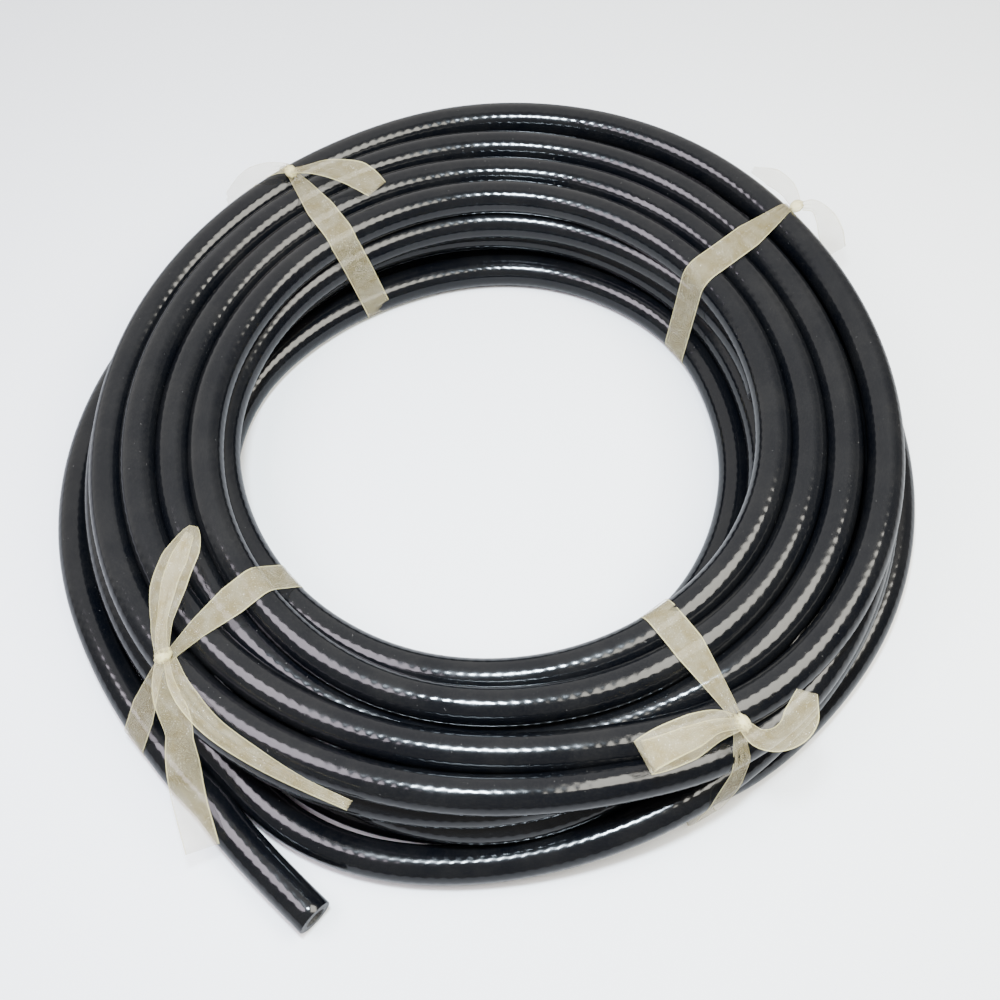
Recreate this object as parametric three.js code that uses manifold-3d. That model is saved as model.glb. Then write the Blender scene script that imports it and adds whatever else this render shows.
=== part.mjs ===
// A coil of reinforced silicone vacuum hose, lying flat and tied with four organza ribbons.
// Millimetres and degrees, +Z up. The origin is at the middle of the foot of the whole.
// The coil is built round its own axis first, and the finished group is then moved to its origin.
import * as THREE from "three";
import { mergeVertices } from "three/addons/utils/BufferGeometryUtils.js";
import Module from "manifold-3d";

// The hose
const HOSE_DIAMETER = 14;
const HOSE_BORE = 8;
const MOUTH_DEPTH = 24; // how far the bore of the loose end is open, from its cut face

// The wound part. Radii and pitches are those of the hose's centre line.
const EYE_TURN_RADIUS = 108.5; // of the innermost turn on the floor
const FLOOR_TURNS = 5;
const SECOND_TURNS = 4;
const SECOND_SET_OUT = 7.5; // how much wider a layer's innermost turn is than the one on the floor
const THIRD_TURNS = 4;
const THIRD_SET_OUT = 0;
const LANE_PITCH = 15.25;
const TOP_TURNS = 4;
const TOP_SET_OUT = -1.5;
const TOP_PITCH = 14.2;
const LAYER_RISE = 12; // from a nested layer to the next one up
const TOP_RISE = 13.8; // the top layer isn't nested in the one below it

// The ribbon ties
const RIBBON_WIDTH = 12;
const RIBBON_THICKNESS = 0.6;
const KNOT_SIZE = [10, 9, 5.5];

// Fits and fineness
const TOUCH_GAP = 0.3;
const BAND_GAP = 0.45; // between a flat band and the round turns
const TURN_FACETS = 56; // round the coil
const CREST_SPREAD = 60; // half of the arc that one turn shows between its grooves
const CREST_STEP = 40;
const TUBE_SIDES = 12;
const TUBE_STEPS = 5;
const STREAMER_STEPS = 10;
const CORNER_SEGMENTS = 3;

// The loose end's centre line, from where it leaves the outermost turn on the floor to its cut face.
// Each point is set off in X and Y from that turn's centre at TAIL_AZIMUTH, and Z is from the floor.
const TAIL_AZIMUTH = 235;
const TAIL_ROUTE = [
  [-2.2, -3.9, 7.9],
  [5.7, -12.8, 7.8],
  [14.6, -21.9, 7.6],
  [25.7, -32.2, 7.4],
  [38.1, -43.5, 7.2],
];

// Each tie: where it goes round the coil, how far out its knot sits from the top layer's last turn,
// and the streamers that leave the knot. A streamer's bearing is its direction in plan, and its route
// is pairs of reach from the knot and height over what it is draped on. A loop comes back to the knot.
const TIES = [
  {
    name: "ribbon_back_left",
    azimuth: 125,
    knotSetOut: 0.4,
    streamers: [
      { bearing: -24, route: [[0, 1], [12, 4], [26, 3], [42, 1]] },
      { bearing: 192, route: [[0, 1], [12, 1.5], [20, 1], [29, 1]] },
    ],
  },
  {
    name: "ribbon_back_right",
    azimuth: 38.5,
    knotSetOut: 2.4,
    streamers: [
      { bearing: 117, route: [[0, 1], [12, 1], [24, 1], [33, 1]] },
      { bearing: -9, route: [[0, 1], [8, 1], [15, 1], [24, 1]] },
    ],
  },
  {
    name: "ribbon_front_left",
    azimuth: 222,
    knotSetOut: 1.4,
    streamers: [
      { bearing: 83, route: [[0, 1], [18, 1], [36, 2], [47, 5], [48, 8], [34, 11], [15, 8], [0, 3]] },
      { bearing: -37, route: [[0, 1], [20, 1], [45, 1], [68, 1], [85, 1]] },
      { bearing: -77, route: [[0, 1], [20, 2], [30, 1], [40, 1], [50, 1], [60, 1]] },
    ],
  },
  {
    name: "ribbon_front_right",
    azimuth: 304.5,
    knotSetOut: 1.4,
    streamers: [
      { bearing: 210.5, route: [[0, 1], [20, 1], [38, 1], [42, 2.2], [38, 3.6], [20, 3.8], [0, 3]] },
      { bearing: 17, route: [[0, 1], [9, 1], [17, 3], [24, 8]] },
    ],
  },
];

const HOSE_COLOUR = 0x141518;
const HOSE_ROUGHNESS = 0.35;
const RIBBON_COLOUR = 0xece3c4;
const RIBBON_ROUGHNESS = 0.6;

// Sizes that follow from those above
const HOSE_RADIUS = HOSE_DIAMETER / 2;
const COIL_LIFT = RIBBON_THICKNESS + BAND_GAP; // the coil lies on the ribbons' bands
const LAYERS = [
  { turns: FLOOR_TURNS, setOut: 0, pitch: LANE_PITCH, rise: HOSE_RADIUS + COIL_LIFT },
  { turns: SECOND_TURNS, setOut: SECOND_SET_OUT, pitch: LANE_PITCH, rise: LAYER_RISE },
  { turns: THIRD_TURNS, setOut: THIRD_SET_OUT, pitch: LANE_PITCH, rise: LAYER_RISE },
  { turns: TOP_TURNS, setOut: TOP_SET_OUT, pitch: TOP_PITCH, rise: TOP_RISE },
];
const COIL_TOP = LAYERS.reduce((height, layer) => height + layer.rise, HOSE_RADIUS);
const BAND_OFFSET = HOSE_RADIUS + BAND_GAP; // from a turn's centre to the inside of a band

const wasm = await Module();
wasm.setup();

// A closed geometry as a solid for joining and cutting.
function solidOf(geometry) {
  const bare = geometry.clone();
  bare.deleteAttribute("normal");
  bare.deleteAttribute("uv");
  const merged = mergeVertices(bare);
  return new wasm.Manifold(
    new wasm.Mesh({
      numProp: 3,
      vertProperties: new Float32Array(merged.attributes.position.array),
      triVerts: new Uint32Array(merged.index.array),
    }),
  );
}

// A joined or cut solid as a flat-shaded geometry.
function geometryOf(solid) {
  const { vertProperties, triVerts } = solid.getMesh();
  const indexed = new THREE.BufferGeometry();
  indexed.setAttribute("position", new THREE.BufferAttribute(vertProperties, 3));
  indexed.setIndex(new THREE.BufferAttribute(triVerts, 1));
  const geometry = indexed.toNonIndexed();
  geometry.computeVertexNormals();
  return geometry;
}

// The centres of all turns, layer by layer, as points of the coil's section: x is the radius.
function turnCentres() {
  let height = 0;
  return LAYERS.map(({ turns, setOut, pitch, rise }) => {
    height += rise;
    const radius = EYE_TURN_RADIUS + setOut;
    return Array.from({ length: turns }, (_, lane) => new THREE.Vector2(radius + lane * pitch, height));
  });
}

// The turns on the outside of the section, once round it against the clock from the foot of the eye.
function outsideTurns(layers) {
  const floor = layers[0];
  const top = layers[layers.length - 1];
  const between = layers.slice(1, -1);
  return [
    ...floor,
    ...between.map((lanes) => lanes[lanes.length - 1]),
    ...[...top].reverse(),
    ...[...between].reverse().map((lanes) => lanes[0]),
  ];
}

// The outward direction of the straight line from one turn's centre to the next, as an angle.
function outwardAngle(from, to) {
  return Math.atan2(-(to.x - from.x), to.y - from.y);
}

// How far an outline turns at a corner, between half a turn to the right and half a turn to the left.
function turning(before, after) {
  return THREE.MathUtils.euclideanModulo(after - before + Math.PI, 2 * Math.PI) - Math.PI;
}

// The scalloped outline of the coil's section: an arc of every turn that shows, with grooves between.
function scallopedOutline(turns, radius) {
  const spread = THREE.MathUtils.degToRad(CREST_SPREAD);
  const step = THREE.MathUtils.degToRad(CREST_STEP);
  const outline = turns.flatMap((centre, i) => {
    const before = outwardAngle(turns.at(i - 1), centre);
    const start = before - spread;
    const sweep = turning(before, outwardAngle(centre, turns[(i + 1) % turns.length])) + 2 * spread;
    const steps = Math.max(1, Math.round(sweep / step));
    return Array.from({ length: steps + 1 }, (_, k) => {
      const angle = start + (sweep * k) / steps;
      return new THREE.Vector2(centre.x + radius * Math.cos(angle), centre.y + radius * Math.sin(angle));
    });
  });
  return [...outline, outline[0]];
}

// The wound part as one turned ring, its turns' radius being that of the hose unless it is a cutter.
function coilGeometry(turnRadius) {
  const outline = scallopedOutline(outsideTurns(turnCentres()), turnRadius);
  return new THREE.LatheGeometry(outline, TURN_FACETS).rotateX(Math.PI / 2);
}

// The corners of a tight string round the section's turns, against the clock.
function tightCorners(turns) {
  return turns.filter((centre, i) => {
    const before = outwardAngle(turns.at(i - 1), centre);
    return turning(before, outwardAngle(centre, turns[(i + 1) % turns.length])) > 0;
  });
}

// Corners that still form a tight string after each hollow one is dropped.
function hullCorners(turns) {
  const kept = tightCorners(turns);
  return kept.length === turns.length ? kept : hullCorners(kept);
}

// A string at one distance from the corner turns' centres: an arc at each corner and lines between.
function drawString(path, corners, offset, clockwise) {
  const order = clockwise ? [...corners].reverse() : corners;
  order.forEach((centre, i) => {
    const index = clockwise ? corners.length - 1 - i : i;
    const start = outwardAngle(corners.at(index - 1), centre);
    const sweep = turning(start, outwardAngle(centre, corners[(index + 1) % corners.length]));
    const ends = clockwise ? [start + sweep, start] : [start, start + sweep];
    path.absarc(centre.x, centre.y, offset, ends[0], ends[1], clockwise);
  });
  return path;
}

// A flat outline in a plane through the coil's axis, x outwards and y up, as a plate across that plane.
function upright(shape, width) {
  return new THREE.ExtrudeGeometry(shape, {
    depth: width,
    steps: 1,
    bevelEnabled: false,
    curveSegments: CORNER_SEGMENTS,
  })
    .translate(0, 0, -width / 2)
    .rotateX(Math.PI / 2);
}

// The band of a tie, tight round the coil's section, in the plane of the X axis.
function bandGeometry() {
  const corners = hullCorners(outsideTurns(turnCentres()));
  const band = drawString(new THREE.Shape(), corners, BAND_OFFSET + RIBBON_THICKNESS, false);
  band.holes.push(drawString(new THREE.Path(), corners, BAND_OFFSET, true));
  return upright(band, RIBBON_WIDTH);
}

// The height of the outside of a tie's band, or of the loose end beyond it, at a distance from the axis.
function drapeHeight(radius) {
  const offset = BAND_OFFSET + RIBBON_THICKNESS;
  const top = turnCentres().at(-1).at(-1);
  const foot = turnCentres()[0].at(-1);
  const outward = outwardAngle(foot, top);
  const edge = top.x + offset * Math.cos(outward);
  if (radius <= top.x) return top.y + offset;
  if (radius <= edge) return top.y + Math.sqrt(offset ** 2 - (radius - top.x) ** 2);
  const slope = (top.y - foot.y) / (top.x - foot.x);
  const onSide = top.y + offset * Math.sin(outward) + slope * (radius - edge);
  return Math.max(onSide, foot.y + offset);
}

// A ribbon from a knot along a bearing, draped over the coil, in the plane of the X axis.
function streamerGeometry(knotRadius, fromKnot, route) {
  const across = new THREE.Vector2(-Math.sin(fromKnot), Math.cos(fromKnot)).multiplyScalar(RIBBON_WIDTH / 2);
  const curve = new THREE.SplineCurve(
    route.map(([reach, over]) => {
      const middle = new THREE.Vector2(knotRadius + reach * Math.cos(fromKnot), reach * Math.sin(fromKnot));
      const drapes = [-1, 0, 1].map((side) => drapeHeight(middle.clone().addScaledVector(across, side).length()));
      return new THREE.Vector2(reach, Math.max(...drapes) + over);
    }),
  );
  const edge = (side) =>
    Array.from({ length: STREAMER_STEPS + 1 }, (_, k) => {
      const point = curve.getPoint(k / STREAMER_STEPS);
      const along = curve.getTangent(k / STREAMER_STEPS);
      const offset = (side * RIBBON_THICKNESS) / 2;
      return new THREE.Vector2(point.x - along.y * offset, point.y + along.x * offset);
    });
  return upright(new THREE.Shape([...edge(1), ...edge(-1).reverse()]), RIBBON_WIDTH);
}

// One tie: the band, the knot on it and the knot's streamers, joined.
function tieGeometry({ azimuth, knotSetOut, streamers }) {
  const turn = THREE.MathUtils.degToRad(azimuth);
  const knotRadius = turnCentres().at(-1).at(-1).x + knotSetOut;
  const knotHeight = COIL_TOP + BAND_GAP + KNOT_SIZE[2] / 2;
  const knotX = knotRadius * Math.cos(turn);
  const knotY = knotRadius * Math.sin(turn);
  const band = solidOf(bandGeometry().rotateZ(turn));
  const knot = solidOf(
    new THREE.SphereGeometry(0.5, 8, 6)
      .rotateX(Math.PI / 2)
      .scale(...KNOT_SIZE)
      .rotateZ(turn)
      .translate(knotX, knotY, knotHeight),
  );
  const joined = streamers.reduce((tie, { bearing, route }) => {
    const heading = THREE.MathUtils.degToRad(bearing);
    const streamer = streamerGeometry(knotRadius, heading - turn, route)
      .rotateZ(heading)
      .translate(knotX, knotY, 0);
    return tie.add(solidOf(streamer));
  }, band.add(knot));
  return geometryOf(joined);
}

// The loose end: a tube with its bore open at the cut face, clear of the coil that it runs out of.
function tailGeometry() {
  const round = (radius, Kind) => new Kind().absarc(0, 0, radius, 0, 2 * Math.PI, false);
  const turn = THREE.MathUtils.degToRad(TAIL_AZIMUTH);
  const outermost = turnCentres()[0].at(-1).x;
  const leaves = new THREE.Vector3(outermost * Math.cos(turn), outermost * Math.sin(turn), 0);
  const route = TAIL_ROUTE.map(([x, y, z]) => new THREE.Vector3(x, y, z).add(leaves));
  const alongRoute = (path, radius) =>
    new THREE.ExtrudeGeometry(round(radius, THREE.Shape), {
      steps: TUBE_STEPS,
      bevelEnabled: false,
      curveSegments: TUBE_SIDES / 2,
      extrudePath: path,
    });
  const whole = new THREE.CatmullRomCurve3(route);
  const fromFace = (depth) => whole.getPointAt(1 - depth / whole.getLength());
  const beyondFace = route.at(-1).clone().addScaledVector(whole.getTangentAt(1), TOUCH_GAP);
  const mouth = new THREE.CatmullRomCurve3([fromFace(MOUTH_DEPTH), fromFace(MOUTH_DEPTH / 2), beyondFace]);
  return geometryOf(
    solidOf(alongRoute(whole, HOSE_RADIUS))
      .subtract(solidOf(alongRoute(mouth, HOSE_BORE / 2)))
      .subtract(solidOf(coilGeometry(HOSE_RADIUS + TOUCH_GAP))),
  );
}

// A finish as a material.
function finish(color, roughness) {
  return new THREE.MeshStandardMaterial({ color, roughness, metalness: 0 });
}

// A geometry as a named piece.
function piece(name, geometry, material) {
  const mesh = new THREE.Mesh(geometry, material);
  mesh.name = name;
  return mesh;
}

const silicone = finish(HOSE_COLOUR, HOSE_ROUGHNESS);
const organza = finish(RIBBON_COLOUR, RIBBON_ROUGHNESS);

const group = new THREE.Group();
group.add(piece("hose_coil", coilGeometry(HOSE_RADIUS), silicone));
group.add(piece("hose_tail", tailGeometry(), silicone));
for (const tie of TIES) group.add(piece(tie.name, tieGeometry(tie), organza));

const box = new THREE.Box3().setFromObject(group, true);
const middle = box.getCenter(new THREE.Vector3());
group.position.set(-middle.x, -middle.y, -box.min.z);

export default group;
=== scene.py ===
"""A coil of black reinforced silicone vacuum hose, tied with four sheer organza ribbons."""

import logging
import math
from dataclasses import dataclass, field
from enum import Enum

import bmesh
import bpy
import numpy as np
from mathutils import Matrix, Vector


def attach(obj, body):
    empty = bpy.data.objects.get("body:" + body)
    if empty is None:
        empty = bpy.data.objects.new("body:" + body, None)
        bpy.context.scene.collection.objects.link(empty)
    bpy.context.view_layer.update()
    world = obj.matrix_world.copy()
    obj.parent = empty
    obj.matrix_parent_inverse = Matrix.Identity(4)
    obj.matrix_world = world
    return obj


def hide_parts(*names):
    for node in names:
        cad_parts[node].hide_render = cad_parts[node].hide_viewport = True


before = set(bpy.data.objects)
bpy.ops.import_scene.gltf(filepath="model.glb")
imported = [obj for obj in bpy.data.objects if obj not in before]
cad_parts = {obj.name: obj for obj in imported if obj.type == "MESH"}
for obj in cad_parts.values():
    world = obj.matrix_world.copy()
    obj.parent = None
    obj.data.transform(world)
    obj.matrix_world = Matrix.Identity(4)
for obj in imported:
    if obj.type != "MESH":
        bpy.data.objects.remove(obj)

LOG = logging.getLogger("vacuum_hose")

Point = tuple[float, float, float]
Colour = tuple[float, float, float, float]
Pair = tuple[float, float]

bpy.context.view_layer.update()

HOSE_DIAMETER = 0.014
HOSE_BORE = 0.008
COIL_AXIS = (0.0, 0.005585)
# The ribbon's width, spread out and gathered in a knot.
WIDE = 0.012
TIED = 0.0045
UP = Vector((0.0, 0.0, 1.0))


def place(x: float, y: float, z: float) -> Vector:
    """A point given in hose diameters right of, behind and above the foot of the coil's axis, in metres."""
    return Vector((COIL_AXIS[0] + x * HOSE_DIAMETER, COIL_AXIS[1] + y * HOSE_DIAMETER, z * HOSE_DIAMETER))


def smooth_course(points: list[Vector], spacing: float) -> list[Vector]:
    """A smooth line through points, with its own points at even distances.

    Args:
        points: The points that the line goes through.
        spacing: The distance between the new points, in metres.

    Returns:
        The new points, both ends included.
    """
    knots = np.array([tuple(p) for p in points])
    ends = np.vstack([2 * knots[0] - knots[1], knots, 2 * knots[-1] - knots[-2]])
    parts_per_span = 12
    part = np.linspace(0.0, 1.0, parts_per_span, endpoint=False)[:, None]
    pieces = []
    for before, start, stop, after in zip(ends[:-3], ends[1:-2], ends[2:-1], ends[3:]):
        slope_in, slope_out = (stop - before) / 2, (after - start) / 2
        bend = 3 * (stop - start) - 2 * slope_in - slope_out
        twist = slope_in + slope_out - 2 * (stop - start)
        pieces.append(start + slope_in * part + bend * part**2 + twist * part**3)
    fine = np.vstack([*pieces, knots[-1:]])
    run = np.concatenate([[0.0], np.cumsum(np.linalg.norm(np.diff(fine, axis=0), axis=1))])
    count = max(3, int(round(run[-1] / spacing)) + 1)
    even = np.linspace(0.0, run[-1], count)
    return [Vector(p) for p in np.column_stack([np.interp(even, run, fine[:, axis]) for axis in range(3)])]


def new_piece(name: str, shape: bmesh.types.BMesh, finishes: list[bpy.types.Material]) -> bpy.types.Object:
    """A mesh object in the scene from a finished bmesh, with smooth faces.

    Args:
        name: The piece's name.
        shape: The bmesh, which is freed.
        finishes: The materials of its slots.

    Returns:
        The object.
    """
    mesh = bpy.data.meshes.new(name)
    shape.to_mesh(mesh)
    shape.free()
    for finish in finishes:
        mesh.materials.append(finish)
    mesh.shade_smooth()
    piece = bpy.data.objects.new(name, mesh)
    bpy.context.scene.collection.objects.link(piece)
    return piece


class Wiring:
    """Nodes of one material, wired by short calls."""

    def __init__(self, name: str) -> None:
        """Starts a material with a Principled shader.

        Args:
            name: The material's name.
        """
        self.material = bpy.data.materials.new(name)
        self.material.use_nodes = True
        self.nodes = self.material.node_tree.nodes
        self.links = self.material.node_tree.links
        self.shader = self.nodes["Principled BSDF"]

    def node(self, kind: str, *inputs: object, **settings: object) -> bpy.types.Node:
        """Adds a node.

        Args:
            kind: The node's type.
            inputs: A value or an output for each input in order, or None to leave one as it is.
            settings: Properties of the node.

        Returns:
            The node.
        """
        node = self.nodes.new(kind)
        for key, value in settings.items():
            setattr(node, key, value)
        for socket, value in zip(node.inputs, inputs):
            self.set(socket, value)
        return node

    def set(self, socket: bpy.types.NodeSocket, value: object) -> None:
        """Gives an input a value, or wires an output to it.

        Args:
            socket: The input.
            value: A value, an output, or None to leave the input as it is.
        """
        if isinstance(value, bpy.types.NodeSocket):
            self.links.new(value, socket)
        elif value is not None:
            socket.default_value = value

    def maths(self, operation: str, *inputs: object) -> bpy.types.NodeSocket:
        """The output of a Math node that works on values or outputs."""
        return self.node("ShaderNodeMath", *inputs, operation=operation).outputs[0]

    def noise(self, scale: float, detail: float = 2.0, roughness: float = 0.5) -> bpy.types.NodeSocket:
        """Noise in Object coordinates.

        Args:
            scale: Its cells per metre.
            detail: Its octaves.
            roughness: How much the fine octaves count.

        Returns:
            The noise's value, from 0 to 1.
        """
        where = self.node("ShaderNodeTexCoord").outputs["Object"]
        noise = self.node("ShaderNodeTexNoise")
        self.set(noise.inputs["Vector"], where)
        self.set(noise.inputs["Scale"], scale)
        self.set(noise.inputs["Detail"], detail)
        self.set(noise.inputs["Roughness"], roughness)
        return noise.outputs["Fac"]

    def span(self, value: object, source: Pair, target: Pair) -> bpy.types.NodeSocket:
        """A value carried from one range to another, and kept in it."""
        return self.node("ShaderNodeMapRange", value, *source, *target).outputs[0]

    def blend(self, share: object, first: object, second: object) -> bpy.types.NodeSocket:
        """Two colours mixed.

        Args:
            share: The share of the second.
            first: The first colour.
            second: The second colour.

        Returns:
            The mixed colour's socket.
        """
        mix = self.node("ShaderNodeMix", data_type="RGBA")
        self.set(mix.inputs["Factor"], share)
        self.set(mix.inputs["A"], first)
        self.set(mix.inputs["B"], second)
        return mix.outputs["Result"]

    def along(self) -> tuple[bpy.types.NodeSocket, bpy.types.NodeSocket]:
        """The piece's own UV map.

        Returns:
            The sockets of U, across, and V, along in metres.
        """
        uv = self.node("ShaderNodeUVMap", uv_map="UVMap").outputs[0]
        apart = self.node("ShaderNodeSeparateXYZ", uv)
        return apart.outputs[0], apart.outputs[1]

    def relief(self, height: object, depth: float) -> bpy.types.NodeSocket:
        """A bump at full strength.

        Args:
            height: The height's output, in units of the depth.
            depth: How far a height of 1 stands out, in metres.

        Returns:
            The normal's socket.
        """
        bump = self.node("ShaderNodeBump")
        self.set(bump.inputs["Strength"], 1.0)
        self.set(bump.inputs["Distance"], depth)
        self.set(bump.inputs["Height"], height)
        return bump.outputs["Normal"]


@dataclass(frozen=True)
class SiliconeFinish:
    """Glossy black silicone over a braid that shows as rows of low diamonds."""

    braid_pitch: float = 0.0043
    braid_rows: int = 7
    braid_depth: float = 0.00003
    grain_share: float = 0.16
    cut_depth: float = 0.0003
    refraction: float = 1.45
    clean: Colour = (0.0010, 0.0014, 0.0024, 1.0)
    dusty: Colour = (0.0065, 0.0064, 0.0064, 1.0)
    fleck: Colour = (0.12, 0.115, 0.105, 1.0)
    cut_dark: Colour = (0.03, 0.03, 0.032, 1.0)
    cut_pale: Colour = (0.10, 0.10, 0.10, 1.0)

    def wall(self) -> bpy.types.Material:
        """The outside of the hose.

        Returns:
            The material.
        """
        w = Wiring("silicone_wall")
        round_u, along_v = w.along()
        turn = w.maths("MULTIPLY", round_u, 2 * math.pi * self.braid_rows)
        run = w.maths("MULTIPLY", along_v, 2 * math.pi / self.braid_pitch)
        diamonds = w.maths("MULTIPLY", w.maths("COSINE", turn), w.maths("COSINE", run))
        uneven = w.span(w.noise(60.0, 2.0), (0.35, 0.65), (0.6, 1.0))
        grain = w.maths("MULTIPLY", w.noise(1500.0, 3.0, 0.6), self.grain_share)
        height = w.maths("ADD", w.maths("MULTIPLY", diamonds, uneven), grain)
        w.set(w.shader.inputs["Normal"], w.relief(height, self.braid_depth))
        cloudy = w.span(w.noise(45.0, 5.0, 0.7), (0.42, 0.75), (0.0, 0.7))
        dust = w.maths("ADD", cloudy, w.span(w.noise(1700.0, 2.0), (0.45, 0.70), (0.0, 0.5)))
        bloom = w.blend(dust, self.clean, self.dusty)
        speck = w.span(w.noise(900.0, 1.0), (0.78, 0.81), (0.0, 0.35))
        w.set(w.shader.inputs["Base Color"], w.blend(speck, bloom, self.fleck))
        w.set(w.shader.inputs["Roughness"], w.span(w.noise(70.0, 4.0, 0.65), (0.35, 0.75), (0.10, 0.20)))
        w.set(w.shader.inputs["IOR"], self.refraction)
        return w.material

    def cut(self) -> bpy.types.Material:
        """The sawn face of an end and the bore behind it.

        Returns:
            The material.
        """
        w = Wiring("silicone_cut")
        rough = w.noise(1400.0, 4.0, 0.7)
        w.set(w.shader.inputs["Normal"], w.relief(rough, self.cut_depth))
        grey = w.blend(w.span(rough, (0.4, 0.7), (0.0, 1.0)), self.cut_dark, self.cut_pale)
        w.set(w.shader.inputs["Base Color"], grey)
        w.set(w.shader.inputs["Roughness"], w.span(rough, (0.35, 0.7), (0.25, 0.5)))
        return w.material


@dataclass(frozen=True)
class OrganzaFinish:
    """Sheer cream organza with a close weave, satin edges and painted glints, white specks in its colour that
    stand in for light glinting off the threads.
    """

    thread_pitch: float = 0.00036
    thread_depth: float = 0.00003
    edge_alpha: float = 0.38
    # Extra opacity of the painted glints, white specks that stand in for light glinting off the threads.
    painted_glint_alpha: float = 0.3
    cream_dark: Colour = (0.46, 0.37, 0.17, 1.0)
    cream_pale: Colour = (0.60, 0.52, 0.32, 1.0)
    satin: Colour = (0.78, 0.69, 0.34, 1.0)
    # The colour of the painted glints.
    painted_glint_colour: Colour = (1.0, 0.98, 0.92, 1.0)

    def cloth(self) -> bpy.types.Material:
        """The ribbon.

        Returns:
            The material.
        """
        w = Wiring("organza_cloth")
        across_u, along_v = w.along()
        from_middle = w.maths("ABSOLUTE", w.maths("SUBTRACT", across_u, 0.5))
        edge = w.span(from_middle, (0.445, 0.47), (0.0, 1.0))
        turns = 2 * math.pi / self.thread_pitch
        warp = w.maths("COSINE", w.maths("MULTIPLY", across_u, turns * WIDE))
        weft = w.maths("COSINE", w.maths("MULTIPLY", along_v, turns))
        weave = w.maths("ADD", warp, weft)
        w.set(w.shader.inputs["Normal"], w.relief(weave, self.thread_depth))
        # Painted glints: scattered white specks, made more opaque, that stand in for light glinting off the
        # threads.
        painted_glints = w.span(w.noise(2600.0, 1.0), (0.70, 0.76), (0.0, 1.0))
        cloudy = w.span(w.noise(220.0, 3.0), (0.35, 0.65), (0.0, 1.0))
        cream = w.blend(cloudy, self.cream_dark, self.cream_pale)
        edged = w.blend(edge, cream, self.satin)
        w.set(w.shader.inputs["Base Color"], w.blend(painted_glints, edged, self.painted_glint_colour))
        threads = w.span(weave, (-2.0, 2.0), (0.09, 0.28))
        sheer = w.maths("ADD", threads, w.maths("MULTIPLY", painted_glints, self.painted_glint_alpha))
        w.set(w.shader.inputs["Alpha"], w.maths("MAXIMUM", sheer, w.maths("MULTIPLY", edge, self.edge_alpha)))
        w.set(w.shader.inputs["Roughness"], 0.42)
        w.set(w.shader.inputs["Sheen Weight"], 0.03)
        w.set(w.shader.inputs["Sheen Roughness"], 0.4)
        return w.material


class End(Enum):
    """Which end of the hose is meant."""

    LOOSE = "loose"
    HIDDEN = "hidden"


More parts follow.
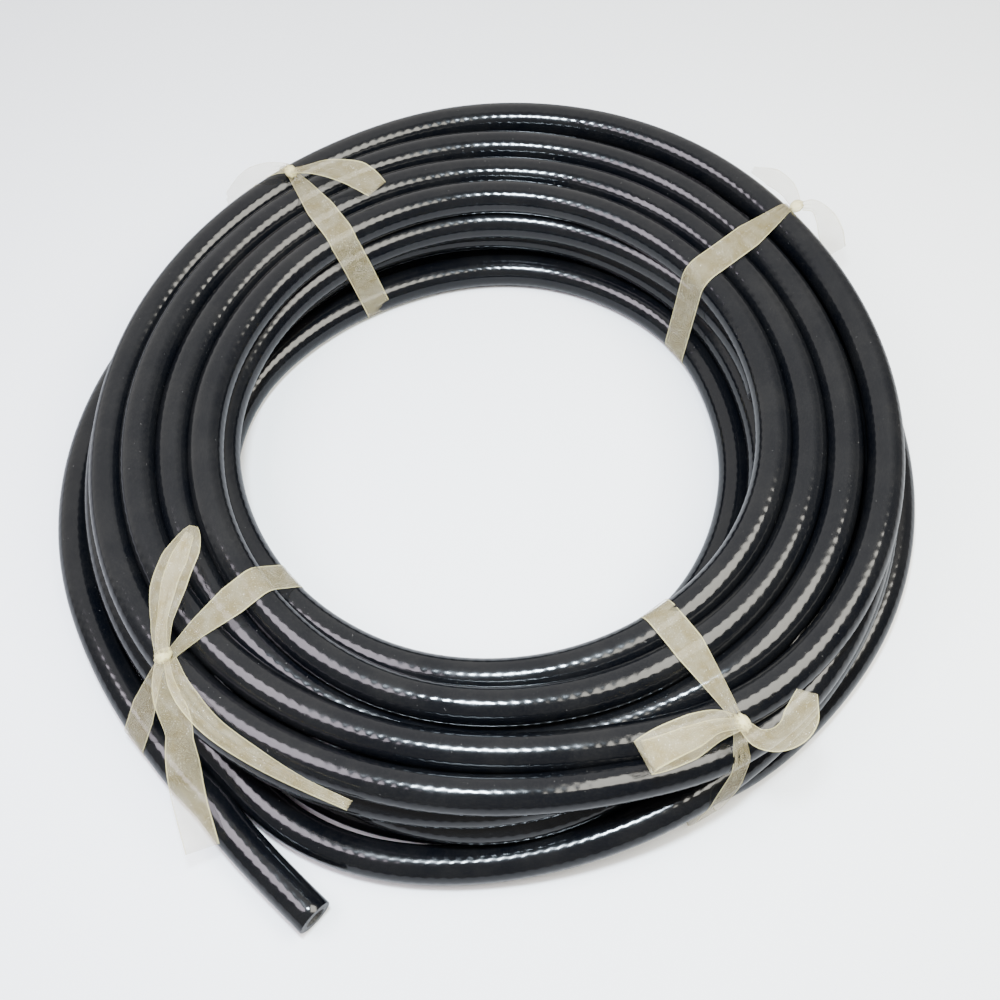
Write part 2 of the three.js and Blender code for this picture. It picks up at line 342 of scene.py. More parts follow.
@dataclass
class WoundHose:
    """The whole hose: the loose end, the turns in the order in which they were wound, and the hidden end."""

    samples_per_turn: int = 72
    sides: int = 20
    ring_spacing: float = 0.0034
    merge_distance: float = 1e-6
    mouth_depth: float = 0.03
    # An end's cut face from its rim to its bore, as the radius and how far it stands out, in metres.
    cut_face: tuple[Pair, ...] = (
        (0.00678, 0.0002), (0.0057, 0.00025), (0.0055, 0.00012), (0.0052, 0.00012),
        (0.0050, 0.00025), (0.0042, 0.0002), (0.0040, 0.0),
    )
    # How the turns settle. The lengths are in hose diameters, and the rest are shares in each round.
    settling_rounds: int = 500
    least_gap: float = 1.004
    lowest: float = 0.505
    push_share: float = 0.45
    hold_share: float = 0.12
    straighten_share: float = 0.35
    # The loose end from its cut face to the outermost turn, in hose diameters from the axis.
    loose_end: tuple[Point, ...] = (
        (-4.22, -13.02, 0.515),
        (-5.11, -12.22, 0.53),
        (-5.90, -11.48, 0.545),
        (-6.54, -10.83, 0.555),
        (-7.10, -10.19, 0.565),
    )
    # Each turn from the front right on, clockwise seen from above: at an azimuth in degrees, the radius
    # and the height in hose diameters, and how firmly the turn is held there, from 0 to 1. The first
    # turn begins at the front left, where the loose end leaves it.
    turns: tuple[tuple[tuple[float, float, float, float], ...], ...] = (
        ((235, 12.40, 0.5, 1), (225, 12.12, 0.5, 1), (210, 12.08, 0.5, 1), (195, 12.2, 0.5, 1),
         (180, 12.12, 0.5, 1), (150, 11.65, 0.5, 1), (120, 11.5, 0.5, 1), (90, 11.75, 0.5, 1),
         (60, 12.15, 0.5, 1), (30, 12.3, 0.5, 1), (0, 12.25, 0.5, 1), (-10, 12.2, 0.5, 1),
         (-24, 12.05, 0.5, 1), (-41, 11.65, 0.5, 1), (-58, 11.53, 0.5, 1)),
        ((290, 11.1, 0.5, 0.8), (280, 10.7, 0.5, 0.9), (264, 10.8, 0.5, 1), (250, 10.9, 0.5, 1),
         (238, 10.5, 0.5, 0.9), (210, 10.0, 0.5, 0.2), (180, 9.95, 0.5, 0.2), (90, 9.4, 0.5, 0.2),
         (0, 9.9, 0.5, 0.2), (-50, 9.7, 0.5, 0.2)),
        ((300, 9.3, 0.5, 0.2), (280, 8.9, 0.5, 0.2), (264, 8.6, 0.5, 0.2), (240, 8.1, 0.5, 0.4),
         (225, 7.9, 0.5, 0.9), (210, 7.95, 0.5, 0.9), (180, 7.97, 0.5, 1), (161, 7.83, 0.5, 1),
         (140, 7.4, 0.5, 1), (114, 7.13, 0.5, 1), (95, 7.22, 0.5, 1), (77, 7.42, 0.5, 1),
         (60, 7.55, 0.5, 1), (33, 7.75, 0.5, 1), (19, 7.57, 0.5, 1), (4, 7.5, 0.5, 1),
         (-20, 7.35, 0.5, 0.6), (-50, 7.3, 0.6, 0.4)),
        ((300, 7.3, 0.9, 0.3), (290, 7.35, 1.25, 0.3), (280, 7.6, 1.4, 0.3), (265, 8.0, 1.4, 0.2),
         (240, 8.6, 1.4, 0.2), (210, 9.0, 1.4, 0.2), (180, 9.1, 1.4, 0.2), (90, 9.0, 1.4, 0.2),
         (0, 9.3, 1.4, 0.2), (-50, 9.2, 1.4, 0.2)),
        ((300, 9.6, 1.4, 0.2), (290, 10.2, 1.4, 0.3), (280, 10.7, 1.4, 0.8), (270, 10.9, 1.4, 0.9),
         (255, 10.9, 1.4, 0.9), (240, 10.6, 1.4, 0.5), (225, 10.3, 1.4, 0.2), (180, 10.1, 1.4, 0.2),
         (150, 10.0, 1.4, 0.2), (90, 10.1, 1.4, 0.2), (60, 10.6, 1.4, 0.2), (30, 11.2, 1.4, 0.5),
         (10, 11.5, 1.4, 0.9), (0, 11.55, 1.4, 1), (-10, 11.5, 1.4, 1), (-24, 11.45, 1.4, 1),
         (-41, 11.4, 1.4, 1), (-58, 11.4, 1.35, 1)),
        ((300, 11.45, 1.3, 1), (290, 11.42, 1.05, 1), (280, 11.5, 0.75, 1), (272, 11.65, 0.55, 1),
         (264, 11.8, 0.5, 1), (255, 12.0, 0.5, 1), (247, 12.0, 0.5, 1), (243, 11.88, 0.5, 1),
         (239, 11.65, 0.5, 1), (235, 11.4, 0.5, 1), (225, 11.15, 0.5, 0.7), (197, 10.93, 0.5, 0.2),
         (180, 10.95, 0.5, 0.2), (150, 10.6, 0.5, 0.2), (120, 10.4, 0.5, 0.2), (90, 10.5, 0.5, 0.2),
         (60, 10.95, 0.5, 0.2), (30, 11.1, 0.5, 0.2), (0, 11.1, 0.5, 0.2), (-30, 11.0, 0.5, 0.2),
         (-50, 10.6, 0.5, 0.2)),
        ((300, 10.3, 0.5, 0.2), (280, 9.9, 0.5, 0.2), (264, 9.7, 0.5, 0.2), (235, 9.2, 0.5, 0.2),
         (210, 9.0, 0.5, 0.2), (180, 8.97, 0.5, 0.2), (150, 8.7, 0.5, 0.2), (120, 8.2, 0.5, 0.4),
         (90, 8.3, 0.5, 0.4), (60, 8.6, 0.5, 0.4), (30, 8.8, 0.5, 0.2), (0, 8.65, 0.5, 0.2),
         (-50, 8.4, 0.5, 0.2)),
        ((300, 8.1, 0.5, 0.2), (290, 7.8, 0.5, 0.2), (280, 7.6, 0.5, 0.2), (264, 7.5, 0.5, 0.2),
         (250, 7.45, 0.55, 0.3), (240, 7.5, 0.8, 0.3), (230, 7.65, 1.1, 0.4), (215, 7.9, 1.35, 0.5),
         (200, 8.1, 1.4, 0.6), (180, 8.1, 1.45, 0.6), (150, 8.05, 1.45, 0.6), (120, 7.95, 1.4, 0.6),
         (90, 8.05, 1.4, 0.6), (60, 8.2, 1.4, 0.6), (30, 8.3, 1.4, 0.6), (0, 8.2, 1.4, 0.4),
         (-50, 8.0, 1.4, 0.3)),
        ((300, 8.0, 1.5, 0.2), (280, 8.1, 1.8, 0.2), (260, 8.1, 1.9, 0.2), (235, 8.5, 2.3, 0.2),
         (180, 8.65, 2.3, 0.2), (90, 8.8, 2.3, 0.2), (0, 9.2, 2.3, 0.2), (-50, 9.0, 2.3, 0.2)),
        ((300, 10.0, 2.2, 0.3), (260, 9.95, 2.25, 0.3), (235, 9.6, 2.3, 0.2), (180, 9.6, 2.3, 0.2),
         (90, 9.8, 2.3, 0.2), (0, 10.2, 2.3, 0.2), (-50, 10.0, 2.3, 0.2)),
        ((300, 10.3, 2.3, 0.3), (285, 10.6, 2.3, 0.8), (270, 10.75, 2.3, 0.9), (255, 10.75, 2.3, 0.9),
         (240, 10.8, 2.1, 0.7), (225, 10.9, 1.7, 0.6), (210, 10.95, 1.55, 0.6), (180, 10.95, 1.5, 0.6),
         (150, 10.9, 1.5, 0.4), (120, 11.0, 1.6, 0.2), (90, 11.3, 1.9, 0.2), (60, 11.5, 2.2, 0.2),
         (30, 11.4, 2.3, 0.4), (0, 11.25, 2.3, 0.7), (-30, 11.2, 2.35, 0.7), (-50, 11.1, 2.6, 0.7)),
        ((300, 10.75, 2.9, 0.8), (290, 10.6, 3.1, 1), (270, 10.6, 3.15, 1), (255, 10.6, 3.15, 1),
         (225, 10.7, 3.05, 1), (200, 10.62, 2.85, 1), (180, 10.58, 2.8, 1), (150, 10.6, 2.9, 1),
         (120, 10.75, 3.05, 1), (90, 11.35, 3.15, 1), (60, 11.6, 3.2, 1), (30, 11.3, 3.2, 1),
         (0, 11.15, 3.2, 1), (-30, 11.02, 3.2, 1), (-50, 10.75, 3.2, 1)),
        ((300, 10.4, 3.2, 1), (285, 9.85, 3.25, 1), (270, 9.55, 3.2, 1), (255, 9.55, 3.2, 1),
         (225, 9.6, 3.2, 1), (180, 9.55, 3.2, 1), (150, 9.55, 3.2, 1), (120, 9.75, 3.2, 1),
         (90, 10.1, 3.2, 1), (60, 10.25, 3.2, 1), (30, 10.1, 3.2, 1), (0, 10.0, 3.2, 1),
         (-30, 9.95, 3.2, 1), (-50, 9.7, 3.0, 1)),
        ((300, 9.35, 2.5, 1), (285, 9.15, 2.33, 1), (270, 9.0, 2.3, 1), (255, 8.95, 2.35, 1),
         (240, 8.9, 2.6, 1), (225, 8.85, 2.95, 1), (180, 8.7, 3.15, 1), (150, 8.65, 3.2, 1),
         (120, 8.8, 3.2, 1), (90, 9.0, 3.2, 1), (60, 9.15, 3.2, 1), (30, 9.1, 3.2, 1),
         (0, 9.0, 3.2, 1), (-30, 8.9, 3.2, 1), (-50, 8.7, 3.2, 1)),
        ((300, 8.6, 3.2, 1), (285, 8.45, 3.2, 1), (270, 8.4, 3.2, 1), (255, 8.35, 3.2, 1),
         (225, 8.15, 3.2, 1), (180, 7.8, 3.2, 1), (150, 7.65, 3.2, 1), (120, 7.7, 3.2, 1),
         (90, 7.9, 3.25, 1), (60, 8.05, 3.25, 1), (30, 8.1, 3.25, 1), (0, 8.1, 3.2, 1),
         (-30, 8.0, 3.2, 1), (-50, 7.85, 3.1, 1)),
        ((300, 7.75, 3.0, 1), (285, 7.6, 2.85, 1), (270, 7.5, 2.7, 1), (255, 7.48, 2.65, 1),
         (240, 7.43, 2.55, 1), (225, 7.4, 2.45, 1), (210, 7.42, 2.4, 1), (180, 7.55, 2.4, 1),
         (150, 7.5, 2.45, 1), (120, 7.52, 2.45, 1), (90, 7.72, 2.48, 1), (60, 7.93, 2.4, 1),
         (30, 8.3, 2.3, 0.6), (10, 8.5, 2.3, 0.3)),
    )
    azimuth: np.ndarray = field(init=False)
    radius: np.ndarray = field(init=False)
    height: np.ndarray = field(init=False)

    def __post_init__(self) -> None:
        """Lays the turns out and lets them settle against each other."""
        keys = np.array([(360.0 * lap - azimuth, *rest) for lap, turn in enumerate(self.turns)
                         for azimuth, *rest in turn])
        first, last = keys[0, 0], keys[-1, 0]
        step = 360.0 / self.samples_per_turn
        travel = np.arange(first, last + step / 2, step)
        self.azimuth = np.radians(-travel)
        planned = [self.ease(travel, keys[:, 0], keys[:, column]) for column in (1, 2)]
        firm = np.interp(travel, keys[:, 0], keys[:, 3])
        self.radius, self.height = self.settle(*planned, firm)

    @staticmethod
    def ease(at: np.ndarray, known: np.ndarray, values: np.ndarray) -> np.ndarray:
        """Values between known ones, without overshoot.

        Args:
            at: Where they are wanted.
            known: Where they are known, rising.
            values: The known values.

        Returns:
            The values at the wanted places.
        """
        slopes = np.diff(values) / np.diff(known)
        same = slopes[:-1] * slopes[1:] > 0
        total = np.where(same, slopes[:-1] + slopes[1:], 1.0)
        inner = np.where(same, 2 * slopes[:-1] * slopes[1:] / total, 0.0)
        tangent = np.concatenate([[slopes[0]], inner, [slopes[-1]]])
        k = np.clip(np.searchsorted(known, at, side="right") - 1, 0, len(known) - 2)
        width = known[k + 1] - known[k]
        t = (at - known[k]) / width
        start = (1 + 2 * t) * (1 - t) ** 2 * values[k] + t * (1 - t) ** 2 * width * tangent[k]
        stop = t**2 * (3 - 2 * t) * values[k + 1] + t**2 * (t - 1) * width * tangent[k + 1]
        return start + stop

    def settle(self, radius: np.ndarray, height: np.ndarray, firm: np.ndarray) -> list[np.ndarray]:
        """Moves the turns apart where they would lie in each other, each as little as it is firm.

        Args:
            radius: The planned radii along the hose, in hose diameters.
            height: The planned heights.
            firm: From 0 to 1, how firmly each place is held.

        Returns:
            The settled radii and heights.
        """
        spot = np.array([radius, height])
        plan = spot.copy()
        least_give = 0.05
        give = 1 + least_give - firm
        for _ in range(self.settling_rounds):
            push = np.zeros_like(spot)
            for lap in range(1, len(self.turns) + 1):
                n = lap * self.samples_per_turn
                if n >= spot.shape[1]:
                    break
                apart = spot[:, n:] - spot[:, :-n]
                gap = np.maximum(np.hypot(*apart), 1e-6)
                short = apart / gap * np.clip(self.least_gap - gap, 0.0, None)
                share = give[n:] / (give[n:] + give[:-n])
                push[:, n:] += short * share
                push[:, :-n] -= short * (1 - share)
            spot += self.push_share * push
            spot += self.hold_share * firm**2 * (plan - spot)
            spot[:, 1:-1] += self.straighten_share * ((spot[:, :-2] + spot[:, 2:]) / 2 - spot[:, 1:-1])
            spot[1] = np.maximum(spot[1], self.lowest)
        return [spot[0], spot[1]]

    def course(self) -> list[Vector]:
        """The whole centre line, from the cut face of the loose end to the hidden end.

        Returns:
            Its points, a ring spacing apart.
        """
        wound = [place(r * math.cos(a), r * math.sin(a), z)
                 for a, r, z in zip(self.azimuth, self.radius, self.height)]
        return smooth_course([place(*p) for p in self.loose_end] + wound[1:], self.ring_spacing)

    def section(self, azimuth: float) -> list[tuple[float, float]]:
        """Where the turns cross an upright plane through the coil's axis.

        Args:
            azimuth: The plane's direction, in degrees.

        Returns:
            The radius and the height of each turn's centre, in hose diameters.
        """
        travel = -np.degrees(self.azimuth)
        laps = range(math.ceil((travel[0] + azimuth) / 360), math.floor((travel[-1] + azimuth) / 360) + 1)
        at = [360.0 * lap - azimuth for lap in laps]
        return list(zip(np.interp(at, travel, self.radius), np.interp(at, travel, self.height)))

    def roll(self, course: list[Vector], radius: float) -> bmesh.types.BMesh:
        """A grid rolled into a tube round a line, open at both ends.

        Args:
            course: The line.
            radius: The tube's radius in metres.

        Returns:
            The tube, whose UV map has the way round in U and metres along it in V.
        """
        line = np.array([tuple(p) for p in course])
        forward = np.gradient(line, axis=0)
        forward /= np.linalg.norm(forward, axis=1)[:, None]
        side = np.cross(forward, tuple(UP))
        side /= np.linalg.norm(side, axis=1)[:, None]
        up = np.cross(side, forward)
        shape = bmesh.new()
        uv = shape.loops.layers.uv.new("UVMap")
        bmesh.ops.create_grid(shape, x_segments=self.sides, y_segments=len(line) - 1, size=0.5, calc_uvs=True)
        for vert in shape.verts:
            k = round((vert.co.y + 0.5) * (len(line) - 1))
            turn = 2 * math.pi * (vert.co.x + 0.5)
            vert.co = line[k] + radius * (math.cos(turn) * side[k] + math.sin(turn) * up[k])
        length = float(np.linalg.norm(np.diff(line, axis=0), axis=1).sum())
        for face in shape.faces:
            for loop in face.loops:
                loop[uv].uv.y *= length
        bmesh.ops.remove_doubles(shape, verts=shape.verts, dist=self.merge_distance)
        bmesh.ops.recalc_face_normals(shape, faces=shape.faces)
        return shape

    def open_mouth(self, shape: bmesh.types.BMesh, course: list[Vector], end: End) -> None:
        """Gives one end of the tube its cut face and its bore.

        Args:
            shape: The tube.
            course: The tube's centre line.
            end: Which end.
        """
        line = course if end is End.LOOSE else course[::-1]
        outward = (line[0] - line[1]).normalized()
        rim = [e for e in shape.edges if e.is_boundary and (e.verts[0].co - line[0]).length < HOSE_DIAMETER]
        steps = [(face_radius, line[0] + outward * rise) for face_radius, rise in self.cut_face]
        steps += [(HOSE_BORE / 2, spot) for spot in line[1 : int(self.mouth_depth / self.ring_spacing)]]
        radius, centre = HOSE_DIAMETER / 2, line[0]
        for new_radius, new_centre in steps:
            grown = bmesh.ops.extrude_edge_only(shape, edges=rim)["geom"]
            verts = [g for g in grown if isinstance(g, bmesh.types.BMVert)]
            for vert in verts:
                vert.co = new_centre + (vert.co - centre) * (new_radius / radius)
            for face in (g for g in grown if isinstance(g, bmesh.types.BMFace)):
                face.material_index = 1
            rim = [g for g in grown if isinstance(g, bmesh.types.BMEdge) and g.is_boundary]
            radius, centre = new_radius, new_centre
        for face in bmesh.ops.holes_fill(shape, edges=rim)["faces"]:
            face.material_index = 1

    def build(self) -> bpy.types.Object:
        """Builds the hose.

        Returns:
            The hose's object.
        """
        course = self.course()
        shape = self.roll(course, HOSE_DIAMETER / 2)
        for end in End:
            self.open_mouth(shape, course, end)
        bmesh.ops.recalc_face_normals(shape, faces=shape.faces)
        finish = SiliconeFinish()
        hose = new_piece("vacuum_hose", shape, [finish.wall(), finish.cut()])
        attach(hose, "root")
        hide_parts("hose_coil", "hose_tail")
        return hose


@dataclass(frozen=True)
class Strip:
    """A stretch of ribbon: its middle in hose diameters, its widths in metres and its rolls in degrees."""

    points: tuple[Point, ...]
    widths: tuple[float, ...]
    rolls: tuple[float, ...]


@dataclass
class RibbonTie:
    """One tie: a band round the coil's section, a knot on it, and its loops and loose tails."""

    name: str
    node: str
    # The azimuth of the band at the knot, at the inner edge of the top, at the foot of the eye, and
    # at the foot outside.
    band: tuple[float, float, float, float]
    # The knot's place in hose diameters from the axis, and its half sizes in metres.
    knot: Point
    strips: tuple[Strip, ...]
    knot_size: tuple[float, float, float] = (0.0033, 0.0026, 0.0023)
    knot_folds: float = 0.14
    step: float = 0.0015
    columns: int = 12
    clearance: float = 0.0004
    thickness: float = 0.00012
    pleats: int = 3
    pleat_depth: float = 0.0009
    # How far from the knot the band stays gathered, and from where it is spread out, in metres.
    gathered: Pair = (0.004, 0.03)
    # Below this sine of its angle to the upright, a strip keeps its last direction across.
    steepest: float = 0.2

    def hull(self, coil: WoundHose, azimuth: float) -> list[tuple[float, float]]:
        """The tight outline round the turns in a plane through the axis, counter-clockwise.

        Args:
            coil: The wound hose.
            azimuth: The plane's direction, in degrees.

        Returns:
            Points of the outline, in hose diameters.
        """
        reach = 0.5 + self.clearance / HOSE_DIAMETER
        above_floor = 0.01
        directions = np.linspace(0, 2 * math.pi, 36, endpoint=False)
        dots = sorted(
            (r + reach * math.cos(a), max(z + reach * math.sin(a), above_floor))
            for r, z in coil.section(azimuth)
            for a in directions
        )
        half: list[list[tuple[float, float]]] = []
        for run in (dots, dots[::-1]):
            chain: list[tuple[float, float]] = []
            for dot in run:
                while len(chain) > 1 and (
                    (chain[-1][0] - chain[-2][0]) * (dot[1] - chain[-2][1])
                    <= (chain[-1][1] - chain[-2][1]) * (dot[0] - chain[-2][0])
                ):
                    chain.pop()
                chain.append(dot)
            half.append(chain[:-1])
        return half[0] + half[1]

    def band_strip(self, coil: WoundHose) -> tuple[list[Vector], list[float], list[Vector]]:
        """The band, from the knot over the top, down the eye, under the coil and up outside.

        Args:
            coil: The wound hose.

        Returns:
            The middle's points, the widths there, and the directions across.
        """
        outline = self.hull(coil, self.band[0])
        ring = np.array(outline + outline[:1])
        run = np.concatenate([[0.0], np.cumsum(np.linalg.norm(np.diff(ring, axis=0), axis=1))])
        knot_radius = math.hypot(self.knot[0], self.knot[1])
        start = int(np.argmin(np.hypot(ring[:-1, 0] - knot_radius, ring[:-1, 1] - self.knot[2])))
        rise = 0.6 * ring[:-1, 1]
        corners = [
            int(np.argmin(ring[:-1, 0] - rise)),
            int(np.argmin(ring[:-1, 0] + rise)),
            int(np.argmax(ring[:-1, 0] - rise)),
        ]
        total = run[-1]
        stations = [0.0] + [(run[c] - run[start]) % total for c in corners] + [total]
        azimuths = [*self.band, self.band[0]]
        count = int(total * HOSE_DIAMETER / self.step)
        at = np.linspace(0.0, total, count)
        ring_at = (run[start] + at) % total
        radius, height = np.interp(ring_at, run, ring[:, 0]), np.interp(ring_at, run, ring[:, 1])
        turn = np.radians(np.interp(at, stations, azimuths))
        middle = [place(r * math.cos(a), r * math.sin(a), z) for r, z, a in zip(radius, height, turn)]
        from_knot = np.minimum(at, total - at) * HOSE_DIAMETER
        widths = np.interp(from_knot, self.gathered, (TIED, WIDE))
        across = [Vector((-math.sin(a), math.cos(a), 0.0)) for a in turn]
        return middle, list(widths), across

    def streamer(self, strip: Strip) -> tuple[list[Vector], list[float], list[Vector]]:
        """A loop or a tail.

        Args:
            strip: Its stretch of ribbon.

        Returns:
            The middle's points, the widths there, and the directions across.
        """
        middle = smooth_course([place(*p) for p in strip.points], self.step)
        share = np.linspace(0.0, 1.0, len(middle))
        known = np.linspace(0.0, 1.0, len(strip.widths))
        widths = np.interp(share, known, strip.widths)
        rolls = np.radians(np.interp(share, np.linspace(0.0, 1.0, len(strip.rolls)), strip.rolls))
        across = []
        for i, roll in enumerate(rolls):
            forward = (middle[min(i + 1, len(middle) - 1)] - middle[max(i - 1, 0)]).normalized()
            level = forward.cross(UP)
            if level.length > self.steepest:
                level.normalize()
            elif across:
                level = across[-1]
            else:
                level = Vector((1.0, 0.0, 0.0))
            across.append(math.cos(roll) * level + math.sin(roll) * level.cross(forward))
        return middle, list(widths), across

    def lay_strip(self, shape: bmesh.types.BMesh, middle: list[Vector], widths: list[float],
                  across: list[Vector]) -> float:
        """Adds a grid to the tie and lays it along a line, pleated where it is gathered.

        Args:
            shape: The tie's bmesh.
            middle: The line.
            widths: The width at each of the line's points.
            across: The direction across at each of the line's points.

        Returns:
            The stretch's length in metres.
        """
        uv = shape.loops.layers.uv.active
        last = len(middle) - 1
        grid = bmesh.ops.create_grid(shape, x_segments=self.columns, y_segments=last, size=0.5, calc_uvs=True)
        length = sum((b - a).length for a, b in zip(middle, middle[1:]))
        faces = {face for vert in grid["verts"] for face in vert.link_faces}
        for face in faces:
            for loop in face.loops:
                loop[uv].uv.y *= length
        for vert in grid["verts"]:
            k = round((vert.co.y + 0.5) * last)
            u = vert.co.x
            forward = (middle[min(k + 1, last)] - middle[max(k - 1, 0)]).normalized()
            normal = across[k].cross(forward).normalized()
            fullness = max(0.0, 1 - widths[k] / WIDE)
            wave = math.sin(2 * math.pi * self.pleats * u + 0.8)
            pleat = self.pleat_depth * fullness**0.7 * wave
            vert.co = middle[k] + across[k] * (u * widths[k]) + normal * pleat
        return length

    def tie_knot(self, shape: bmesh.types.BMesh) -> None:
        """Adds the knot, a small gathered lump.

        Args:
            shape: The tie's bmesh.
        """
        centre = place(*self.knot)
        turn = math.radians(self.band[0])
        lump = bmesh.ops.create_icosphere(shape, subdivisions=3, radius=1.0)["verts"]
        for vert in lump:
            fold = 1 + self.knot_folds * math.sin(9 * vert.co.y + 3 * vert.co.x)
            outward, along, up = (a * b for a, b in zip(vert.co, self.knot_size))
            outward *= fold
            up *= fold
            vert.co = centre + Vector((outward * math.cos(turn) - along * math.sin(turn),
                                       outward * math.sin(turn) + along * math.cos(turn), up))

    def build(self, coil: WoundHose, cloth: bpy.types.Material) -> bpy.types.Object:
        """Builds the tie.

        Args:
            coil: The wound hose that it holds.
            cloth: The ribbon's material.

        Returns:
            The tie's object.
        """
        shape = bmesh.new()
        shape.loops.layers.uv.new("UVMap")
        length = self.lay_strip(shape, *self.band_strip(coil))
        for strip in self.strips:
            length += self.lay_strip(shape, *self.streamer(strip))
        self.tie_knot(shape)
        tie = new_piece(self.name, shape, [cloth])
        thick = tie.modifiers.new("cloth", "SOLIDIFY")
        thick.thickness = self.thickness
        thick.offset = 0.0
        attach(tie, "root")
        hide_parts(self.node)
        LOG.info("%s: %.3f m of ribbon", self.name, length)
        return tie


TIES = (
    RibbonTie(
        "ribbon_tie_back_left", "ribbon_back_left", (125.0, 126.0, 121.0, 124.0), (-6.05, 8.50, 3.80),
        (
            Strip(((-5.98, 8.46, 3.9), (-5.13, 8.26, 4.25), (-4.31, 8.15, 4.2), (-3.80, 8.0, 4.1),
                   (-3.33, 7.66, 3.95)), (TIED, 0.008, 0.010, WIDE, WIDE), (20, 10, -10, -25, 10)),
            Strip(((-6.10, 8.55, 3.9), (-6.54, 8.60, 3.85), (-7.15, 8.70, 3.5), (-7.80, 8.74, 2.9),
                   (-8.39, 8.83, 2.1)), (TIED, 0.008, 0.010, 0.011, 0.010), (0, 10, 20, 20, 20)),
        ),
    ),
    RibbonTie(
        "ribbon_tie_back_right", "ribbon_back_right", (38.3, 36.5, 34.5, 37.0), (9.52, 7.42, 3.45),
        (
            Strip(((9.51, 7.40, 3.5), (9.34, 8.22, 3.35), (8.95, 8.89, 3.15), (8.46, 9.37, 2.95)),
                  (TIED, 0.007, 0.008, 0.003), (30, 40, 40, 30)),
            Strip(((9.66, 7.40, 3.5), (10.05, 7.44, 3.45), (10.42, 7.32, 3.1), (10.78, 7.12, 2.5),
                   (11.05, 6.98, 1.8)), (TIED, 0.008, 0.011, WIDE, 0.011), (0, -10, -25, -35, -40)),
        ),
    ),
    RibbonTie(
        "ribbon_tie_front_left", "ribbon_front_left", (222.5, 222.0, 222.0, 222.5), (-7.93, -7.31, 3.85),
        (
            Strip(((-7.95, -7.31, 4.0), (-8.1, -6.5, 4.05), (-8.05, -5.5, 4.2), (-7.75, -4.7, 4.4),
                   (-7.42, -4.22, 4.65), (-7.38, -4.75, 4.85), (-7.6, -5.6, 4.8), (-7.86, -6.6, 4.4),
                   (-7.92, -7.31, 4.05)),
                  (TIED, 0.0065, 0.0115, 0.011, 0.004, 0.011, 0.0115, 0.0065, TIED),
                  (0, 15, 20, 10, 0, -15, -20, -15, 0)),
            Strip(((-7.93, -7.41, 3.95), (-7.88, -8.05, 3.55), (-7.58, -8.82, 3.1), (-7.51, -9.53, 2.5),
                   (-7.42, -10.34, 1.7), (-7.07, -11.47, 1.15)),
                  (TIED, 0.010, 0.011, WIDE, WIDE, WIDE), (0, 10, -20, 20, 0, 10)),
            Strip(((-7.73, -7.44, 3.95), (-7.35, -8.20, 3.95), (-6.56, -9.09, 3.95), (-5.42, -9.86, 3.9),
                   (-4.30, -10.46, 3.85), (-3.10, -10.98, 3.8)),
                  (TIED, 0.009, 0.0085, 0.006, 0.0045, 0.0045), (0, 30, 30, 10, 20, 30)),
        ),
    ),
    RibbonTie(
        "ribbon_tie_front_right", "ribbon_front_right", (304.8, 307.0, 306.0, 298.5), (6.25, -9.02, 3.85),
        (
            Strip(((6.19, -9.02, 3.95), (5.55, -9.12, 4.25), (4.92, -9.42, 4.45), (4.22, -9.75, 4.5),
                   (3.78, -9.98, 4.3), (4.18, -9.85, 4.05), (4.92, -9.55, 3.95), (5.55, -9.25, 3.95),
                   (6.19, -9.05, 3.9)),
                  (TIED, 0.008, 0.0115, WIDE, WIDE, WIDE, 0.0115, 0.008, TIED),
                  (0, 20, 20, 15, 0, -5, -10, -10, 0)),
            Strip(((6.28, -9.12, 3.95), (6.59, -9.45, 4.05), (7.04, -9.50, 4.15), (7.48, -9.20, 4.25),
                   (7.76, -8.42, 4.4)), (TIED, 0.009, WIDE, WIDE, 0.007), (0, 20, 30, 20, 10)),
        ),
    ),
)


@dataclass(frozen=True)
class Panel:
    """A square light panel that faces down."""

    name: str
    place_at: Point
    size: float
    watts: float
    colour: tuple[float, float, float]

    def hang(self) -> None:
        """Puts the panel in the scene."""
        light = bpy.data.lights.new(self.name, "AREA")
        light.shape = "SQUARE"
        light.size = self.size
        light.energy = self.watts
        light.color = self.colour
        lamp = bpy.data.objects.new(self.name, light)
        lamp.location = self.place_at
        bpy.context.scene.collection.objects.link(lamp)


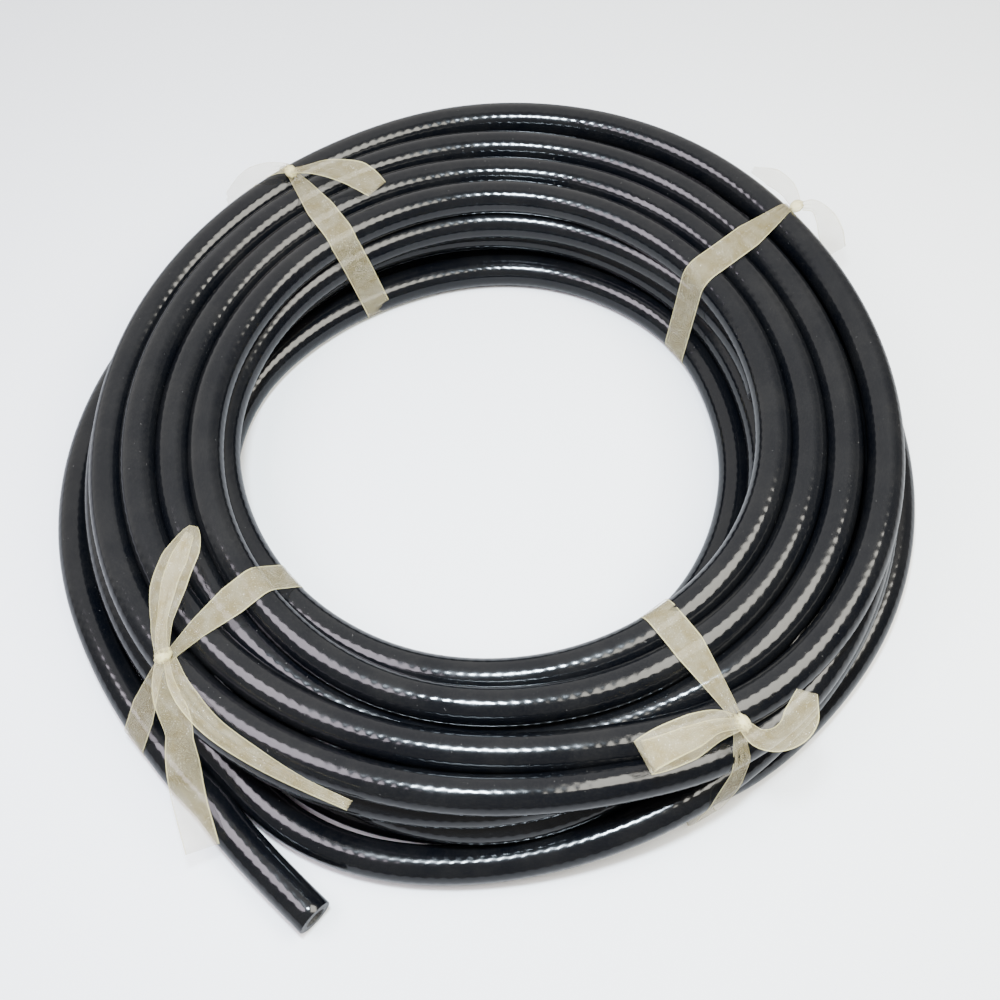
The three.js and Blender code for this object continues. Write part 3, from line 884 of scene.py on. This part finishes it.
@dataclass
class Studio:
    """The floor, the soft lights and the camera."""

    lens: float = 43.2
    sensor: float = 36.0
    reach: float = 0.5048
    elevation: float = 62.47
    target: Point = (0.00574, -0.00788, 0.0)
    floor_half: float = 3.0
    floor_pale: Colour = (0.90, 0.905, 0.91, 1.0)
    # Painted shade: the floor's darker colour seen only in reflections, which dims its reflections in the
    # hose.
    floor_shade_in_reflections: Colour = (0.30, 0.30, 0.31, 1.0)
    # The room's strength to the back and to the right: a range of the direction, and the strengths there.
    backward: tuple[Pair, Pair] = ((-0.02, 0.16), (0.45, 1.3))
    rightward: tuple[Pair, Pair] = ((0.2, 0.75), (1.0, 0.35))
    room_colour: Colour = (1.0, 0.985, 0.965, 1.0)
    panels: tuple[Panel, ...] = (
        Panel("panel_left", (-0.33, -0.13, 0.56), 0.34, 5.0, (0.97, 0.88, 1.0)),
        Panel("panel_middle", (-0.025, -0.115, 0.56), 0.07, 9.5, (0.74, 0.88, 1.0)),
        Panel("panel_right", (0.33, -0.07, 0.56), 0.42, 8.5, (1.0, 0.97, 0.86)),
    )

    def camera(self) -> None:
        """Sets the camera at the viewing angle."""
        lens = bpy.data.cameras.new("camera")
        lens.lens = self.lens
        lens.sensor_width = self.sensor
        camera = bpy.data.objects.new("camera", lens)
        tilt = math.radians(self.elevation)
        back = Vector((0.0, -math.cos(tilt), math.sin(tilt)))
        camera.location = Vector(self.target) + self.reach * back
        camera.rotation_euler = (math.pi / 2 - tilt, 0.0, 0.0)
        bpy.context.scene.collection.objects.link(camera)
        bpy.context.scene.camera = camera

    def floor(self) -> None:
        """Lays the pale floor, with a painted shade: a darker colour that only its reflections in the hose
        show.
        """
        shape = bmesh.new()
        bmesh.ops.create_grid(shape, x_segments=2, y_segments=2, size=self.floor_half)
        w = Wiring("floor_with_reflection_shade")
        # Painted shade: reflections see the floor darker than the camera does.
        seen_in_reflection = w.node("ShaderNodeLightPath").outputs["Is Glossy Ray"]
        w.set(w.shader.inputs["Base Color"], w.blend(seen_in_reflection, self.floor_pale, self.floor_shade_in_reflections))
        w.set(w.shader.inputs["Roughness"], 0.8)
        floor = new_piece("floor", shape, [w.material])

    def room(self) -> None:
        """Makes the room round the coil: pale behind, and dimmer overhead, at the right and in front."""
        world = bpy.data.worlds.new("room")
        bpy.context.scene.world = world
        world.use_nodes = True
        nodes, links = world.node_tree.nodes, world.node_tree.links
        where = nodes.new("ShaderNodeTexCoord")
        apart = nodes.new("ShaderNodeSeparateXYZ")
        links.new(where.outputs["Generated"], apart.inputs[0])
        strength = nodes.new("ShaderNodeMath")
        strength.operation = "MULTIPLY"
        for axis, (source, target), factor in zip("YX", (self.backward, self.rightward), strength.inputs):
            ramp = nodes.new("ShaderNodeMapRange")
            links.new(apart.outputs[axis], ramp.inputs[0])
            for socket, value in zip(ramp.inputs[1:5], (*source, *target)):
                socket.default_value = value
            links.new(ramp.outputs[0], factor)
        backdrop = nodes["Background"]
        backdrop.inputs[0].default_value = self.room_colour
        links.new(strength.outputs[0], backdrop.inputs[1])

    def build(self) -> None:
        """Sets up the whole studio."""
        self.camera()
        self.floor()
        self.room()
        for panel in self.panels:
            panel.hang()


def main() -> None:
    """Builds the studio, the hose and its ties, and notes the sizes."""
    logging.basicConfig(level=logging.INFO, format="%(name)s: %(message)s")
    Studio().build()
    coil = WoundHose()
    pieces = [coil.build()]
    cloth = OrganzaFinish().cloth()
    for tie in TIES:
        pieces.append(tie.build(coil, cloth))
    for piece in pieces:
        LOG.info("%s: %d faces", piece.name, len(piece.data.polygons))


if __name__ == "__main__":
    main()
